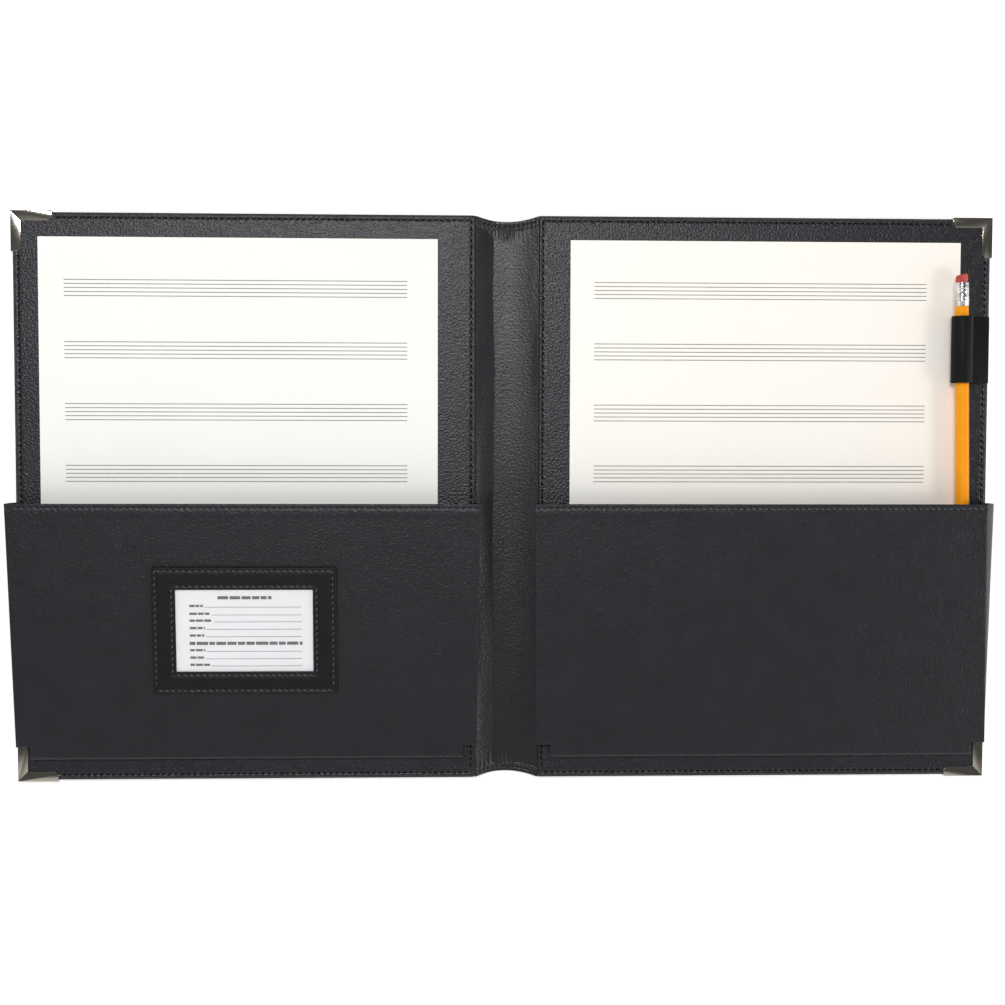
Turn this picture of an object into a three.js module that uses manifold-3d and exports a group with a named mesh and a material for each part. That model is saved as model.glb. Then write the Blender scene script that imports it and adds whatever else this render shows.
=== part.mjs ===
// A music folder lying open on its back: two stiff covers joined by a soft spine,
// each with a gusseted pocket that holds a sheaf of ruled paper.
// Sizes are in millimetres. X runs across the open folder, Y up its page and Z up
// from the table. The origin is the middle of the folder on the table.
// On a cover, "out" is the distance from the hinge line towards the outer edge,
// "up" the distance from the lower edge and "off" the height above the inner face.

import * as THREE from 'three';
import { mergeVertices } from 'three/addons/utils/BufferGeometryUtils.js';
import Module from 'manifold-3d';

const wasm = await Module();
wasm.setup();

// Paper that the folder is made for
const sheetWidth = 215.9;
const sheetHeight = 279.4;
const sheafThickness = 0.5;
const sheetSeatGap = 0.3;
const leftSheetHingeMargin = 20.5;
const leftSheetOuterMargin = 13.6;
const sheetTopMargin = 13.3;

// Covers
const coverCornerRadius = 2.5;
const curveSteps = 24;
const skinThickness = 1;
const boardThickness = 2.8;
const liningThickness = 1;
const liningInset = 0.8;
const layerGap = 0.1;
const boardHingeInset = 0.6;

// Spine
const spineWidth = 35;
const spineSkinThickness = 1;
const spineLiningThickness = 0.6;
const spineHemDip = 3;
const hingeGap = 0.2;
const spineLiningDrop = 0.4;

// Metal corners
const cornerSheet = 0.5;
const cornerArm = 22;
const cornerFlange = 5.4;
const cornerChamfer = 2;
const cornerSeatGap = 0.1;
const mitreGap = 0.3;

// Pockets
const pocketWall = 1;
const pocketMouthUp = 153;
const pocketFoldUp = 11;
const pocketSeamUp = 16;
const pocketMouthDepth = 15;
const pocketFoldDepth = 5;
const pocketHingeFlareAtMouth = 3;
const pocketHingeFlareAtFold = 1;
const pocketHingeBow = 0.5;
const leftPocketOuterFlare = 2.2;
const leftPocketOuterBow = 0.6;
const rightPocketOuterFlare = -4.5;
const rightPocketOuterBow = 4;
const pocketNotchWidth = 7.5;
const pocketNotchHeight = 6;
const pocketCornerGap = 0.5;

// Card holder on the left pocket
const cardWidth = 88.9;
const cardHeight = 50.8;
const cardThickness = 0.3;
const filmThickness = 0.3;
const cardGap = 0.15;
const holderWidth = 100;
const holderHeight = 70;
const holderLip = 0.8;
const holderSeatGap = 0.3;
const cardSideGap = 0.6;
const windowWidth = 74;
const windowHeight = 45;
const holderUp = 84;

// Pencil and its loop on the right cover
const pencilAcrossFlats = 7;
const pencilLength = 190;
const pencilTopMargin = 30.5;
const pencilAxisFromEdge = 17.5;
const pencilSlant = THREE.MathUtils.degToRad(1.15);
const pencilPointLength = 22;
const pointFlare = 1.05;
const tenonOverlap = 1;
const leadRadius = 1;
const leadBareLength = 5;
const leadTipRadius = 0.25;
const leadFit = 0.15;
const eraserRadius = 3.3;
const eraserBareLength = 5.2;
const eraserSeatLength = 5.8;
const eraserRounding = 0.8;
const ferruleLength = 12.8;
const ferruleWall = 0.4;
const ferruleFit = 0.15;
const ferruleBeadHeight = 0.25;
const ferruleBeadWidth = 1.2;
const ferruleBeadPlaces = [0.3, 0.7];
const loopWall = 1;
const loopClearance = 0.8;
const loopLength = 36.5;
const loopTopMargin = 54;
const loopTabThickness = 2;
const loopTabWidth = 9.8;
const loopTabEdgeInset = 0.8;
const loopNeckTurn = 0.3;
const loopSheetGap = 0.2;

// The sheaf stands on the pocket's sloping bottom, and the covers frame it.
const sheafLowUp = pocketSeamUp + pocketWall + sheetSeatGap;
const coverWidth = leftSheetHingeMargin + sheetWidth + leftSheetOuterMargin;
const coverHeight = sheafLowUp + sheetHeight + sheetTopMargin;
const rightSheetHingeMargin = (coverWidth - sheetWidth) / 2;

// Levels above the table, from the covers' backs to their inner faces
const coverBack = cornerSheet + cornerSeatGap;
const boardSpace = boardThickness + 2 * layerGap;
const boardBack = coverBack + skinThickness + layerGap;
const liningBack = coverBack + skinThickness + boardSpace;
const coverFace = liningBack + liningThickness;

// Distances across the folder
const hingeX = spineWidth / 2;
const outerX = hingeX + coverWidth;
const halfHeight = coverHeight / 2;

// How far a cutting shape runs on past what it cuts, and how close points are welded
const beyond = 2;
const weldDistance = 1e-4;

// Finishes
const finish = (color, roughness, metalness = 0) =>
  new THREE.MeshStandardMaterial({ color, roughness, metalness });
const leatherette = () => finish(0x26272b, 0.55);
const greyBoard = () => finish(0x8a8278, 0.9);
const paper = () => finish(0xfbf6e6, 0.85);
const nickel = () => finish(0xc9c6bd, 0.2, 1);

function toSolid(geometry) {
  const bare = geometry.clone();
  bare.deleteAttribute('normal');
  bare.deleteAttribute('uv');
  const merged = mergeVertices(bare, weldDistance);
  return new wasm.Manifold(new wasm.Mesh({
    numProp: 3,
    vertProperties: new Float32Array(merged.attributes.position.array),
    triVerts: new Uint32Array(merged.index.array),
  }));
}

function toGeometry(solid) {
  const mesh = solid.getMesh();
  const geometry = new THREE.BufferGeometry();
  geometry.setAttribute('position', new THREE.BufferAttribute(mesh.vertProperties, 3));
  geometry.setIndex(new THREE.BufferAttribute(mesh.triVerts, 1));
  return geometry;
}

function cutFrom(geometry, ...cutters) {
  const cut = (solid, cutter) => solid.subtract(toSolid(cutter));
  return toGeometry(cutters.reduce(cut, toSolid(geometry)));
}

function joined(...geometries) {
  return toGeometry(geometries.map(toSolid).reduce((all, solid) => all.add(solid)));
}

function common(a, b) {
  return toGeometry(toSolid(a).intersect(toSolid(b)));
}

// A flat piece: an outline in X and Y, thickened upwards from a level.
function plate(outline, level, thickness, curveSegments = 4) {
  const settings = { depth: thickness, bevelEnabled: false, curveSegments };
  return new THREE.ExtrudeGeometry(outline, settings).translate(0, 0, level);
}

// A piece of one section all the way: an outline in X and Z, run along Y.
function alongY(section, fromY, toY, curveSegments = curveSteps) {
  const settings = { depth: toY - fromY, bevelEnabled: false, curveSegments };
  return new THREE.ExtrudeGeometry(section, settings).rotateX(Math.PI / 2).translate(0, toY, 0);
}

function block(x, y, z) {
  const size = [x, y, z].map(([a, b]) => Math.abs(b - a));
  const middle = [x, y, z].map(([a, b]) => (a + b) / 2);
  return new THREE.BoxGeometry(...size).translate(...middle);
}

function polygon(points) {
  return new THREE.Shape(points.map(([x, y]) => new THREE.Vector2(x, y)));
}

function part(name, geometry, material) {
  const mesh = new THREE.Mesh(geometry, material);
  mesh.name = name;
  return mesh;
}

// The outline of a cover's layer. side is -1 for the left cover and 1 for the right one.
function coverOutline(side, hingeInset, edgeInset) {
  const near = side * (hingeX + hingeInset);
  const far = side * (outerX - edgeInset);
  const low = -halfHeight + edgeInset;
  const high = halfHeight - edgeInset;
  const turn = side * coverCornerRadius;
  const outline = new THREE.Shape();
  outline.moveTo(near, low);
  outline.lineTo(far - turn, low);
  outline.quadraticCurveTo(far, low, far, low + coverCornerRadius);
  outline.lineTo(far, high - coverCornerRadius);
  outline.quadraticCurveTo(far, high, far - turn, high);
  outline.lineTo(near, high);
  return outline;
}

// The outer skin is turned up round the board's three free edges.
function coverSkin(side) {
  const full = plate(coverOutline(side, 0, 0), coverBack, skinThickness + boardSpace);
  const inside = coverOutline(side, -beyond, skinThickness);
  const hollow = plate(inside, coverBack + skinThickness, boardSpace + beyond);
  return cutFrom(full, hollow);
}

function coverBoard(side) {
  const outline = coverOutline(side, boardHingeInset, skinThickness + layerGap);
  return plate(outline, boardBack, boardThickness);
}

function coverLining(side) {
  return plate(coverOutline(side, 0, liningInset), liningBack, liningThickness);
}

// The soft spine's plan: its hems are hollowed where the cloth is drawn in.
function spineOutline() {
  const half = hingeX - hingeGap;
  const outline = new THREE.Shape();
  outline.moveTo(-half, -halfHeight);
  outline.quadraticCurveTo(0, -halfHeight + 2 * spineHemDip, half, -halfHeight);
  outline.lineTo(half, halfHeight);
  outline.quadraticCurveTo(0, halfHeight - 2 * spineHemDip, -half, halfHeight);
  return outline;
}

function spineSkin() {
  return plate(spineOutline(), 0, spineSkinThickness, curveSteps / 2);
}

// The spine's lining hangs between the covers as a shallow gutter.
function spineLining() {
  const half = hingeX - hingeGap;
  const floor = spineSkinThickness + layerGap;
  const rim = coverFace - spineLiningDrop - spineLiningThickness;
  const dip = 2 * floor - rim;
  const section = new THREE.Shape();
  section.moveTo(-half, rim);
  section.quadraticCurveTo(0, dip, half, rim);
  section.lineTo(half, rim + spineLiningThickness);
  section.quadraticCurveTo(0, dip + spineLiningThickness, -half, rim + spineLiningThickness);
  const gutter = alongY(section, -halfHeight, halfHeight);
  return common(gutter, plate(spineOutline(), 0, coverFace, curveSteps / 2));
}

// How far along a pocket's height a point is, from 0 at the mouth to 1 at the fold.
const pocketFront = pocketMouthUp - pocketFoldUp;
const panelSlope = Math.atan2(pocketMouthDepth - pocketFoldDepth, pocketFront);

function panelDepth(up) {
  return pocketFoldDepth + (up - pocketFoldUp) * Math.tan(panelSlope);
}

// The space inside a pocket, grown by a wall on the front, the sides and the fold.
// The gussets rise from the cover's edges: the one at the hinge flares over the
// spine, and both bow outwards a little.
function pocketBlock(side, sides, wall, above, below) {
  const gussetSteps = 6;
  const edge = [...Array(gussetSteps + 1).keys()].map((step) => step / gussetSteps);
  const outline = polygon([
    ...edge.map((rise) => [0, rise]),
    ...edge.toReversed().map((rise) => [side, rise]),
  ]);
  const heightSteps = 6;
  const settings = { depth: 1, steps: heightSteps, bevelEnabled: false };
  const geometry = new THREE.ExtrudeGeometry(outline, settings);
  const position = geometry.attributes.position;
  const inset = pocketWall - wall;
  for (let i = 0; i < position.count; i += 1) {
    const across = Math.abs(position.getX(i));
    const rise = position.getY(i);
    const down = position.getZ(i);
    const depth = THREE.MathUtils.lerp(pocketMouthDepth, pocketFoldDepth, down);
    const flare = THREE.MathUtils.lerp(pocketHingeFlareAtMouth, pocketHingeFlareAtFold, down) * rise;
    const bow = Math.sin(Math.PI * rise) * (1 - down);
    const out = THREE.MathUtils.lerp(
      inset - flare - pocketHingeBow * bow,
      coverWidth + sides.flare * rise * (1 - down) + sides.bow * bow - inset,
      across,
    );
    const fold = pocketFoldUp + inset + (pocketSeamUp - pocketFoldUp) * (1 - rise);
    const up = THREE.MathUtils.lerp(pocketMouthUp + above, fold, down);
    const off = THREE.MathUtils.lerp(layerGap - below, depth - inset, rise);
    position.setXYZ(i, side * (hingeX + out), up - halfHeight, coverFace + off);
  }
  return geometry;
}

// One piece folded to a front panel, two gussets and a sloping bottom, with a
// relief notch where the folds meet at each lower corner.
function pocket(side, sides) {
  const shell = pocketBlock(side, sides, pocketWall, 0, 0);
  const inside = pocketBlock(side, sides, 0, beyond, beyond);
  const notchTop = pocketFoldUp + pocketNotchHeight - halfHeight;
  const outerNotchTop = Math.max(notchTop, cornerArm + pocketCornerGap - halfHeight);
  const notchLow = -halfHeight;
  const notchZ = [coverFace - beyond, coverFace + pocketFoldDepth + beyond];
  const hingeEdge = hingeX - pocketHingeFlareAtFold;
  const hingeNotch = [side * (hingeEdge - beyond), side * (hingeEdge + pocketNotchWidth)];
  const outerNotch = [side * (outerX - pocketNotchWidth), side * (outerX + beyond)];
  return cutFrom(
    shell,
    inside,
    block(hingeNotch, [notchLow, notchTop], notchZ),
    block(outerNotch, [notchLow, outerNotchTop], notchZ),
  );
}

function sheaf(side, hingeMargin) {
  const outX = [side * (hingeX + hingeMargin), side * (hingeX + hingeMargin + sheetWidth)];
  const upY = [sheafLowUp - halfHeight, sheafLowUp + sheetHeight - halfHeight];
  const level = coverFace + sheetSeatGap;
  return block(outX, upY, [level, level + sheafThickness]);
}

// A corner is one square of sheet metal with two edges folded over onto the cover's
// inner face, where they meet at a mitre.
function metalCorner(side, end) {
  const outX = outerX + cornerSeatGap + cornerSheet;
  const outY = halfHeight + cornerSeatGap + cornerSheet;
  const top = coverFace + cornerSeatGap + cornerSheet;
  const spanX = (from, to) => [side * (outX - from), side * (outX - to)];
  const spanY = (from, to) => [end * (outY - from), end * (outY - to)];
  const body = block(spanX(0, cornerArm), spanY(0, cornerArm), [0, top]);
  const slot = block(
    spanX(cornerSheet, cornerArm + beyond),
    spanY(cornerSheet, cornerArm + beyond),
    [cornerSheet, top - cornerSheet],
  );
  const opening = block(
    spanX(cornerFlange, cornerArm + beyond),
    spanY(cornerFlange, cornerArm + beyond),
    [cornerSheet, top + beyond],
  );
  const mitreLength = cornerFlange * Math.SQRT2;
  const mitre = new THREE.BoxGeometry(mitreLength, mitreGap, cornerSheet + 2 * cornerSeatGap)
    .rotateZ(side * end * Math.PI / 4)
    .translate(
      side * (outX - cornerSheet - cornerFlange / 2),
      end * (outY - cornerSheet - cornerFlange / 2),
      top - cornerSheet / 2,
    );
  const chamferAt = (x, y, turnX, turnY) => plate(polygon([
    [side * (outX - x), end * (outY - y)],
    [side * (outX - x + turnX), end * (outY - y)],
    [side * (outX - x), end * (outY - y + turnY)],
  ]), top - cornerSheet * 2, cornerSheet * 3);
  return cutFrom(
    body,
    slot,
    opening,
    mitre,
    chamferAt(cornerArm + layerGap, cornerFlange + layerGap, cornerChamfer, cornerChamfer),
    chamferAt(cornerFlange + layerGap, cornerArm + layerGap, cornerChamfer, cornerChamfer),
  );
}

// The card holder: a frame sewn to the pocket, with a clear film and a card in the
// recess behind it. It is drawn flat, with Z away from the pocket's front panel.
function centredBlock(width, height, from, to) {
  return block([-width / 2, width / 2], [-height / 2, height / 2], [from, to]);
}

const cardLevel = holderSeatGap;
const filmLevel = cardLevel + cardThickness + cardGap;
const lipLevel = filmLevel + filmThickness + cardGap;

function holderFrame() {
  const top = lipLevel + holderLip;
  const whole = centredBlock(holderWidth, holderHeight, holderSeatGap, top);
  const recess = centredBlock(cardWidth + 2 * cardSideGap, cardHeight + 2 * cardSideGap, 0, lipLevel);
  const view = centredBlock(windowWidth, windowHeight, 0, top + beyond);
  return cutFrom(whole, recess, view);
}

function cardHolder() {
  const group = new THREE.Group();
  const film = centredBlock(cardWidth, cardHeight, filmLevel, filmLevel + filmThickness);
  const card = centredBlock(cardWidth, cardHeight, cardLevel, cardLevel + cardThickness);
  const panelLevel = coverFace + panelDepth(holderUp);
  group.position.set(-(hingeX + coverWidth / 2), holderUp - halfHeight, panelLevel);
  group.rotation.x = panelSlope;
  group.add(
    part('card_frame', holderFrame(), leatherette()),
    part('card_window', film, finish(0xe8edf0, 0.1)),
    part('name_card', card, finish(0xf2f2f4, 0.7)),
  );
  return group;
}

// The pencil is drawn with its top at the origin and its point down the Y axis.
const pencilRadius = pencilAcrossFlats / Math.sqrt(3);
const ferruleTop = -eraserBareLength;
const ferruleLow = ferruleTop - ferruleLength;
const woodTop = ferruleTop - eraserSeatLength - layerGap;
const woodLow = leadBareLength - pencilLength;

// A round piece on the Y axis, from its profile as radius and place along the axis.
function turned(profile, segments = 20) {
  return new THREE.LatheGeometry(profile.map(([r, y]) => new THREE.Vector2(r, y)), segments);
}

function pencilWood() {
  const hexLength = ferruleLow - layerGap - woodLow;
  const hexagon = new THREE.CylinderGeometry(pencilRadius, pencilRadius, hexLength, 6)
    .rotateY(Math.PI / 6)
    .translate(0, woodLow + hexLength / 2, 0);
  const cone = turned([
    [0, woodLow],
    [leadRadius + leadFit * 2, woodLow],
    [pencilRadius * pointFlare, pencilPointLength - pencilLength],
    [pencilRadius * pointFlare, 0],
    [0, 0],
  ]);
  const tenon = turned([
    [0, ferruleLow - tenonOverlap],
    [eraserRadius, ferruleLow - tenonOverlap],
    [eraserRadius, woodTop],
    [0, woodTop],
  ]);
  const bore = turned([
    [0, woodLow - beyond],
    [leadRadius + leadFit, woodLow - beyond],
    [leadRadius + leadFit, 0],
    [0, 0],
  ], 12);
  return cutFrom(joined(common(hexagon, cone), tenon), bore);
}

function pencilLead() {
  return turned([
    [0, -pencilLength],
    [leadTipRadius, -pencilLength],
    [leadRadius, woodLow - layerGap],
    [leadRadius, woodTop],
    [0, woodTop],
  ], 12);
}

function pencilEraser() {
  const low = ferruleTop - eraserSeatLength;
  return turned([
    [0, low],
    [eraserRadius, low],
    [eraserRadius, -eraserRounding],
    [eraserRadius - eraserRounding, 0],
    [0, 0],
  ]);
}

// The ferrule is a thin sleeve with two beads rolled round it.
function pencilFerrule() {
  const inner = eraserRadius + ferruleFit;
  const outer = inner + ferruleWall;
  const bead = (at) => [
    [outer, at - ferruleBeadWidth / 2],
    [outer + ferruleBeadHeight, at],
    [outer, at + ferruleBeadWidth / 2],
  ];
  return turned([
    [inner, ferruleTop],
    [inner, ferruleLow],
    [outer, ferruleLow],
    ...ferruleBeadPlaces.flatMap((place) => bead(ferruleLow + ferruleLength * place)),
    [outer, ferruleTop],
    [inner, ferruleTop],
  ]);
}

// The loop stands clear of the paper that slides in beneath it.
const loopBore = pencilRadius + loopClearance;
const loopRadius = loopBore + loopWall;
const loopAxisOff = sheetSeatGap + sheafThickness + loopSheetGap + loopRadius;

function pencil() {
  const group = new THREE.Group();
  const fromLoop = loopTopMargin + loopLength / 2 - pencilTopMargin;
  group.position.set(
    outerX - pencilAxisFromEdge - fromLoop * Math.sin(pencilSlant),
    halfHeight - pencilTopMargin,
    coverFace + loopAxisOff,
  );
  group.rotation.z = pencilSlant;
  group.add(
    part('pencil_body', pencilWood(), finish(0xf2a20c, 0.35)),
    part('pencil_lead', pencilLead(), finish(0x2c2c30, 0.5)),
    part('pencil_ferrule', pencilFerrule(), finish(0xc4c4c2, 0.3, 1)),
    part('pencil_eraser', pencilEraser(), finish(0xd06a62, 0.8)),
  );
  return group;
}

// One strip sewn flat at the cover's edge and turned back round the pencil.
function pencilLoop() {
  const axisX = outerX - pencilAxisFromEdge;
  const axisZ = coverFace + loopAxisOff;
  const toY = halfHeight - loopTopMargin;
  const fromY = toY - loopLength;
  const disc = (radius) => new THREE.Shape().absarc(axisX, axisZ, radius, 0, 2 * Math.PI);
  const tabEnd = outerX - loopTabEdgeInset;
  const tabStart = tabEnd - loopTabWidth;
  const tabLow = coverFace + layerGap;
  const tabHigh = tabLow + loopTabThickness;
  const neck = polygon([
    [axisX + loopWall, axisZ - loopRadius + loopWall / 2],
    [tabStart - loopWall, tabLow],
    [tabEnd, tabLow],
    [tabEnd, tabHigh],
    [tabStart, tabHigh],
    [
      axisX + loopRadius * Math.cos(loopNeckTurn),
      axisZ - loopRadius * Math.sin(loopNeckTurn),
    ],
    [axisX, axisZ],
  ]);
  const strip = joined(alongY(disc(loopRadius), fromY, toY), alongY(neck, fromY, toY));
  return cutFrom(strip, alongY(disc(loopBore), fromY - beyond, toY + beyond));
}

function spine() {
  const group = new THREE.Group();
  group.add(
    part('spine_skin', spineSkin(), leatherette()),
    part('spine_lining', spineLining(), leatherette()),
  );
  return group;
}

function cover(side, name, hingeMargin, pocketSides) {
  const group = new THREE.Group();
  group.add(
    part(`${name}_cover_skin`, coverSkin(side), leatherette()),
    part(`${name}_cover_board`, coverBoard(side), greyBoard()),
    part(`${name}_cover_lining`, coverLining(side), leatherette()),
    part(`${name}_pocket`, pocket(side, pocketSides), leatherette()),
    part(`${name}_sheets`, sheaf(side, hingeMargin), paper()),
    part(`corner_top_${name}`, metalCorner(side, 1), nickel()),
    part(`corner_bottom_${name}`, metalCorner(side, -1), nickel()),
  );
  return group;
}

const leftSides = { flare: leftPocketOuterFlare, bow: leftPocketOuterBow };
const leftCover = cover(-1, 'left', leftSheetHingeMargin, leftSides);
leftCover.add(cardHolder());

const rightSides = { flare: rightPocketOuterFlare, bow: rightPocketOuterBow };
const rightCover = cover(1, 'right', rightSheetHingeMargin, rightSides);
rightCover.add(part('pencil_loop', pencilLoop(), leatherette()), pencil());

const folder = new THREE.Group();
folder.add(spine(), leftCover, rightCover);

export default folder;
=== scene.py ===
# The looks of a music folder that lies open on its back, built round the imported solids.
# Shapes are worked out in millimetres in the frame of the solids: X runs across the
# open folder, Y up its page and Z up from the table.

import math

import bmesh
import bpy
import numpy as np
from mathutils import Euler, Matrix, Vector

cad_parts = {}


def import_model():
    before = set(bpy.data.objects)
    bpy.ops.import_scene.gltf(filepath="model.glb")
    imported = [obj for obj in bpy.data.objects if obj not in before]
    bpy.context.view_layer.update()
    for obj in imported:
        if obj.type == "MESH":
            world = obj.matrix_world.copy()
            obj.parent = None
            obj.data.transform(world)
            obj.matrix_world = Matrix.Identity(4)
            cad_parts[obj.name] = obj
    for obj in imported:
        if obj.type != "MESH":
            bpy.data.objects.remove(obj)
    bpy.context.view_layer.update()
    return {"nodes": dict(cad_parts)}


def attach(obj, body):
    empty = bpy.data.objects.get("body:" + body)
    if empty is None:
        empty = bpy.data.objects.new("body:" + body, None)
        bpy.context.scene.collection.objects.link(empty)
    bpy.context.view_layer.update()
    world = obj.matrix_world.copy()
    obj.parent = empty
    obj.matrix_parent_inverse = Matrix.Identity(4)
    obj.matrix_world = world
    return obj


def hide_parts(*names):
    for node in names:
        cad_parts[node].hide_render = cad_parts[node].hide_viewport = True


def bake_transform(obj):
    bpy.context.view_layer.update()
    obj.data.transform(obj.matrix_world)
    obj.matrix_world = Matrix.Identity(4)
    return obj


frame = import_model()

scene = bpy.context.scene

MM = 0.001

# Levels and outlines of the solids
HINGE_X = 17.5
OUTER_X = 267.5
HALF_HEIGHT = 155.0
COVER_BACK = 0.6
LINING_BACK = 4.6
COVER_FACE = 5.6
SPINE_HALF = 17.3
SPINE_DIP = 3.0
COVER_WIDTH = OUTER_X - HINGE_X

# Sewing
STITCH_PITCH = 3.4
STITCH_LENGTH = 2.4
STITCH_WIDTH = 1.05
HEM_STITCH_WIDTH = 0.6
SEAM_INSET = 2.2
SEAM_SLANT = 0.12
HEM_SEAM = 2.6
HEM_SLANT = -0.42

# Pockets
MOUTH_UP = 153.0
FOLD_UP = 11.0
SEAM_UP = 16.0
MOUTH_DEPTH = 15.0
FOLD_DEPTH = 5.0
SEAM_OFF = 0.1
POCKET_WALL = 1.0
PANEL_SLOPE = math.atan2(MOUTH_DEPTH - FOLD_DEPTH, MOUTH_UP - FOLD_UP)

COVERS = ((-1, "left_cover"), (1, "right_cover"))


# Node materials
class Shader:
    """A node tree of a material or a world, with short ways to add and link its nodes."""

    def __init__(self, name, kept_in=bpy.data.materials, output="ShaderNodeOutputMaterial"):
        self.owner = kept_in.new(name)
        self.owner.use_nodes = True
        self.tree = self.owner.node_tree
        self.tree.nodes.clear()
        self.output = self.node(output)

    def node(self, kind, settings=None, **inputs):
        made = self.tree.nodes.new(kind)
        for key, value in (settings or {}).items():
            setattr(made, key, value)
        for key, value in inputs.items():
            self.put(made, key, value)
        return made

    def put(self, node, key, value):
        """Sets or links a socket, given by its label or as i and its number."""
        name = key.replace("_", " ")
        numbered = name[0] == "i" and name[1:].isdigit()
        socket = node.inputs[int(name[1:]) if numbered else name]
        if isinstance(value, bpy.types.NodeSocket):
            self.tree.links.new(value, socket)
        else:
            socket.default_value = value

    def place(self):
        return self.node("ShaderNodeTexCoord").outputs["Object"]

    def noise(self, scale, detail, roughness, vector=None):
        made = self.node("ShaderNodeTexNoise", Scale=scale, Detail=detail, Roughness=roughness)
        self.put(made, "Vector", vector or self.place())
        return made.outputs["Fac"]

    def spread(self, value, low, high, to_low, to_high, way="LINEAR"):
        """A value's range from low to high, stretched to another and kept inside it."""
        made = self.node("ShaderNodeMapRange", {"interpolation_type": way})
        for index, setting in enumerate((value, low, high, to_low, to_high)):
            self.put(made, f"i{index}", setting)
        return made.outputs["Result"]

    def math(self, operation, a, b=0.0, c=0.0):
        made = self.node("ShaderNodeMath", {"operation": operation})
        for index, value in enumerate((a, b, c)):
            self.put(made, f"i{index}", value)
        return made.outputs[0]

    def mix(self, amount, a, b):
        made = self.node("ShaderNodeMix", {"data_type": "RGBA"})
        for index, value in ((0, amount), (6, a), (7, b)):
            self.put(made, f"i{index}", value)
        return made.outputs[2]

    def bump(self, height, distance, strength, under=None):
        made = self.node("ShaderNodeBump", Height=height, Distance=distance, Strength=strength)
        if under is not None:
            self.put(made, "Normal", under)
        return made.outputs["Normal"]

    def surface(self, **inputs):
        made = self.node("ShaderNodeBsdfPrincipled")
        for key, value in inputs.items():
            self.put(made, key, value)
        return self.shown(made.outputs["BSDF"])

    def shown(self, shader):
        """The material or world, with this as its surface."""
        self.tree.links.new(shader, self.output.inputs["Surface"])
        return self.owner


def rgb(red, green, blue):
    """A colour given as it shows on screen, from 0 to 255, as linear light."""
    def linear(value):
        value /= 255
        return value / 12.92 if value <= 0.04045 else ((value + 0.055) / 1.055) ** 2.4
    return (linear(red), linear(green), linear(blue), 1.0)


def leather(name, dark, light, grain, rough, specular=0.4):
    """Leatherette: pebbles pressed between fine creases, with a faint mottle, and painted shade that
    darkens the creases between the pebbles.
    """
    warp_reach, grain_depth, wave_depth = 0.0011, 0.00028, 0.0012
    s = Shader(name)
    warp = s.node("ShaderNodeTexNoise", Scale=300.0, Detail=2.0)
    s.put(warp, "Vector", s.place())
    bent = s.node("ShaderNodeVectorMath", {"operation": "MULTIPLY_ADD"})
    s.put(bent, "i0", warp.outputs["Color"])
    bent.inputs[1].default_value = (warp_reach, warp_reach, warp_reach)
    s.put(bent, "i2", s.place())
    cells = s.node("ShaderNodeTexVoronoi", {"feature": "DISTANCE_TO_EDGE"}, Scale=1500.0)
    s.put(cells, "Vector", bent.outputs[0])
    pebble = s.spread(cells.outputs["Distance"], 0.0, 0.36, 0.0, 1.0)
    fine = s.noise(2400.0, 1.0, 0.5)
    blotch = s.noise(880.0, 0.6, 0.5)
    broad = s.noise(55.0, 4.0, 0.6)
    soft = s.noise(9.0, 2.0, 0.5)
    height = s.math("MULTIPLY_ADD", pebble, 0.1, s.math("MULTIPLY_ADD", fine, 0.15, blotch))
    pressed = s.bump(height, grain_depth * grain, 1.0)
    waved = s.bump(soft, wave_depth, 0.25, pressed)
    mottle = s.math("MULTIPLY", s.math("ADD", broad, blotch), 0.5)
    # Painted shade: the pebble pattern darkens the colour in the creases and lightens the pebble tops;
    # the mottle is the leather's own uneven tone.
    colour = s.mix(s.math("MULTIPLY_ADD", pebble, 0.3, mottle), dark, light)
    roughness = s.spread(s.math("ADD", broad, fine), 0.6, 1.4, *rough)
    return s.surface(
        Base_Color=colour, Roughness=roughness, Normal=waved, Specular_IOR_Level=specular,
    )


def thread(name, dark, light, specular):
    """Sewing thread, with the turns of its twist; the lighter colour on the turns is a painted
    highlight.
    """
    s = Shader(name)
    wave = s.node("ShaderNodeTexWave", {"bands_direction": "DIAGONAL"}, Scale=900.0, Distortion=1.0)
    s.put(wave, "Vector", s.place())
    twist = wave.outputs["Fac"]
    return s.surface(
        Base_Color=s.mix(twist, dark, light), Roughness=s.spread(twist, 0, 1, 0.35, 0.6),
        Normal=s.bump(twist, 0.00006, 0.6), Specular_IOR_Level=specular,
    )


def page(name, near, far, from_x, to_x):
    """Paper with its fibres and faint cockle, and painted shade: a little darker and warmer towards one
    side, where less light falls.
    """
    s = Shader(name)
    split = s.node("ShaderNodeSeparateXYZ", Vector=s.place())
    across = s.spread(split.outputs["X"], from_x * MM, to_x * MM, 0.0, 1.0)
    fibre = s.noise(1500.0, 6.0, 0.7)
    cloud = s.noise(18.0, 3.0, 0.5)
    # Painted shade: the colour shifts from the near colour to the far one across the sheet.
    base = s.mix(across, near, far)
    aged = s.mix(s.spread(cloud, 0.35, 0.75, 0.0, 0.12), base, rgb(244, 239, 226))
    colour = s.mix(s.spread(fibre, 0.35, 0.7, 0.0, 0.08), aged, rgb(232, 227, 216))
    normal = s.bump(cloud, 0.002, 0.1, s.bump(fibre, 0.00003, 0.4))
    return s.surface(
        Base_Color=colour, Roughness=s.spread(fibre, 0.3, 0.7, 0.75, 0.95), Normal=normal,
        Specular_IOR_Level=0.2,
    )


def ink(name, colour):
    """Printer's ink, slightly broken up by the paper."""
    s = Shader(name)
    speckle = s.noise(3000.0, 2.0, 0.6)
    faded = s.mix(s.spread(speckle, 0.45, 0.7, 0.0, 0.5), colour, rgb(214, 211, 206))
    return s.surface(Base_Color=faded, Roughness=s.spread(speckle, 0.3, 0.7, 0.7, 0.9))


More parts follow.
